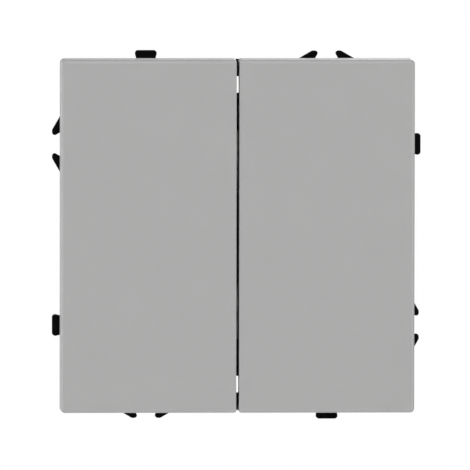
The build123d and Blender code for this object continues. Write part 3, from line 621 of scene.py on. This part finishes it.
def make_screws():
    """The claw, terminal and housing screws, from the places and lengths of their CAD nodes."""
    for side in ("left", "right"):
        node = f"claw_screw_{side}"
        x, z, front, rear = middle(node)
        under = front + CLAW_HEAD
        head = dict(radius=2.7, under=under, face=front, round_off=0.8, drive_depth=1.1)
        shank = dict(start=under, end=rear, crest=1.45, root=1.16, pitch=0.5)
        make_screw(f"claw_screw_thread_{side}", node, [(x, z)], head, shank, node)
    for name in TERMINALS:
        node = f"terminal_screw_{name}"
        x, z, front, rear = middle(node)
        under = rear - TERMINAL_HEAD
        head = dict(radius=2.9, under=under, face=rear, round_off=0.5, drive_depth=1.2)
        shank = dict(start=under, end=front, crest=1.65, root=1.32, pitch=0.6)
        make_screw(f"terminal_screw_thread_{name}", f"clamp_screw_{name}", [(x, z)], head, shank, node)
    low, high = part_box("housing_screws")
    reach_x, reach_z = high.x / MM - HOUSING_SCREW_RADIUS, high.z / MM - HOUSING_SCREW_RADIUS
    places = [(sx * reach_x, sz * reach_z) for sx in (-1, 1) for sz in (-1, 1)]
    face = high.y / MM
    under = face - HOUSING_HEAD
    head = dict(radius=HOUSING_SCREW_RADIUS, under=under, face=face, round_off=0.55, drive_depth=0.9)
    shank = dict(start=under, end=low.y / MM, crest=1.1, root=0.86, pitch=0.7)
    make_screw("housing_screw_set", "root", places, head, shank, "housing_screws")


make_screws()


# ---- moulded details ----------------------------------------------------------------------------
HOUSING_HALF_X = 19.6        # the housing's outline, an oblong with its corners cut off
HOUSING_HALF_Z = 22.0
HOUSING_CORNER = 8.0
SUNK = 0.15                  # how far a detail is let into the surface under it
PARTING_Y = 10.8
PARTING_OUT = 0.13           # height of the parting line's flash
PARTING_HALF = 0.17          # its half width, at its foot and at its outer edge
PARTING_EDGE = 0.05
POCKET_FLOOR = 16.2          # floor of the pockets that hold the ejector marks and arrows
EJECTORS = ((9.6, 12.8), (4.0, -5.2))
ARROW = (4.6, 1.5)           # length and half width
ARROW_HEIGHT = 0.35
ARROWS = ((9.6, 8.2, 1), (9.5, -2.6, -1))      # x, z and way of those on the right-hand side
GAUGE_FLOOR = 20.6           # floor of the shallow recess for the strip gauge
GAUGE_HEIGHT = 0.3
GAUGE_BAR = (0.3, 3.2)       # half sizes of the bar and of its cross bars
GAUGE_CROSS = (1.6, 0.25)
GAUGE_MIDDLE = -15.0
GAUGE_ENDS = (-18.4, -11.6)
RIDGE = (0.75, 0.3)          # half sizes of a clamp plate's ridge
RIDGE_HEIGHT = 0.2
RIDGE_X = 3.0
RIDGE_STEPS = (-2.7, -1.8, 1.8, 2.7)


def raised(corners, x, z, base, top, shrink=0.86):
    """Raised mark with sloping sides; corners are (x, z) offsets in mm from its middle."""
    shape = bmesh.new()
    rings = []
    for y, k in ((base, 1.0), (top, shrink)):
        rings.append([point(shape, x + cx * k, y, z + cz * k) for cx, cz in corners])
    lower, upper = rings
    bridged(shape, lower, upper)
    shape.faces.new(reversed(lower))
    shape.faces.new(upper)
    return shape


def oblong(half_x, half_z):
    """Corners of an oblong."""
    return [(-half_x, -half_z), (half_x, -half_z), (half_x, half_z), (-half_x, half_z)]


def arrow(length, half_width, way):
    """Corners of an arrow along Z; way is 1 for up and -1 for down."""
    half, neck, stem = length / 2, length * 0.05, half_width * 0.36
    right = [(stem, -half), (stem, neck), (half_width, neck)]
    points = [(-stem, -half), *right, (0, half), (-half_width, neck), (-stem, neck)]
    return [(x, way * z) for x, z in points]


def ring(x, z, profile, columns=40):
    """Solid ring round a line along Y; its closed profile is a list of (y, radius)."""
    shape = bmesh.new()
    rows = circles(shape, profile, x, z, columns)
    for row, following in zip(rows, rows[1:] + rows[:1]):
        bridged(shape, row, following)
    return shape


def ejector_mark(x, z, floor):
    """Witness ring that an ejector pin leaves, with a slightly domed pad inside it."""
    base = floor - SUNK
    witness = ring(x, z, [(base, 1.42), (floor + 0.12, 1.36), (floor + 0.12, 1.22), (base, 1.16)])
    pad = turned([(base, 1.0), (floor + 0.03, 0.96), (floor + 0.07, 0.7), (floor + 0.08, 0.3)], x, z, 40)
    return witness, pad


def parting_line():
    """Thin flash round the housing, where the halves of its mould meet."""
    cut = HOUSING_CORNER
    quarter = [(HOUSING_HALF_X, HOUSING_HALF_Z - cut), (HOUSING_HALF_X - cut, HOUSING_HALF_Z)]
    corners = quarter + [(-x, z) for x, z in reversed(quarter)]
    corners += [(-x, -z) for x, z in corners]
    shape = bmesh.new()
    rows = []
    for grow, half in ((-SUNK, PARTING_HALF), (PARTING_OUT, PARTING_EDGE)):
        reach_x, reach_z = 1 + grow / HOUSING_HALF_X, 1 + grow / HOUSING_HALF_Z
        for side in (-1, 1):
            y = PARTING_Y + side * half
            rows.append([point(shape, x * reach_x, y, z * reach_z) for x, z in corners])
    inner_front, inner_rear, outer_front, outer_rear = rows
    loop = [inner_front, outer_front, outer_rear, inner_rear]
    for row, following in zip(loop, loop[1:] + loop[:1]):
        bridged(shape, row, following)
    return shape


def make_housing_details():
    """Flash, ejector marks, arrows and strip gauge on the housing."""
    to_piece("housing_parting_line", parting_line(), "housing", "root")
    marks = []
    arrows = []
    base, top = POCKET_FLOOR - SUNK, POCKET_FLOOR + ARROW_HEIGHT
    for side in (-1, 1):
        for x, z in EJECTORS:
            marks += ejector_mark(side * x, z, POCKET_FLOOR)
        # The upper arrows point at the common terminal, and the lower ones at the outputs.
        for x, z, way in ARROWS:
            arrows.append(raised(arrow(*ARROW, way), side * x, z, base, top))
    to_piece("housing_ejector_marks", joined(*marks), "housing", "root")
    to_piece("housing_terminal_arrows", joined(*arrows), "housing", "root")
    # Strip gauge: a bar as long as the bare end of a wire, with a cross bar at each end.
    base, top = GAUGE_FLOOR - SUNK, GAUGE_FLOOR + GAUGE_HEIGHT
    bars = [raised(oblong(*GAUGE_BAR), 0, GAUGE_MIDDLE, base, top)]
    for z in GAUGE_ENDS:
        bars.append(raised(oblong(*GAUGE_CROSS), 0, z, base, top, 0.92))
    to_piece("housing_strip_gauge", joined(*bars), "housing", "root")


def make_clamp_serrations():
    """Ridges across the front of each clamp plate, which bite into the wire."""
    for name in TERMINALS:
        node = f"terminal_clamp_{name}"
        x, z, front, _ = middle(node)
        base, top = front + SUNK, front - RIDGE_HEIGHT
        ridges = []
        for step in RIDGE_STEPS:
            for side in (-1, 1):
                ridges.append(raised(oblong(*RIDGE), x + side * RIDGE_X, z + step, base, top, 0.7))
        to_piece(f"clamp_serrations_{name}", joined(*ridges), SLOT_OF[node], f"clamp_{name}")


make_housing_details()
make_clamp_serrations()
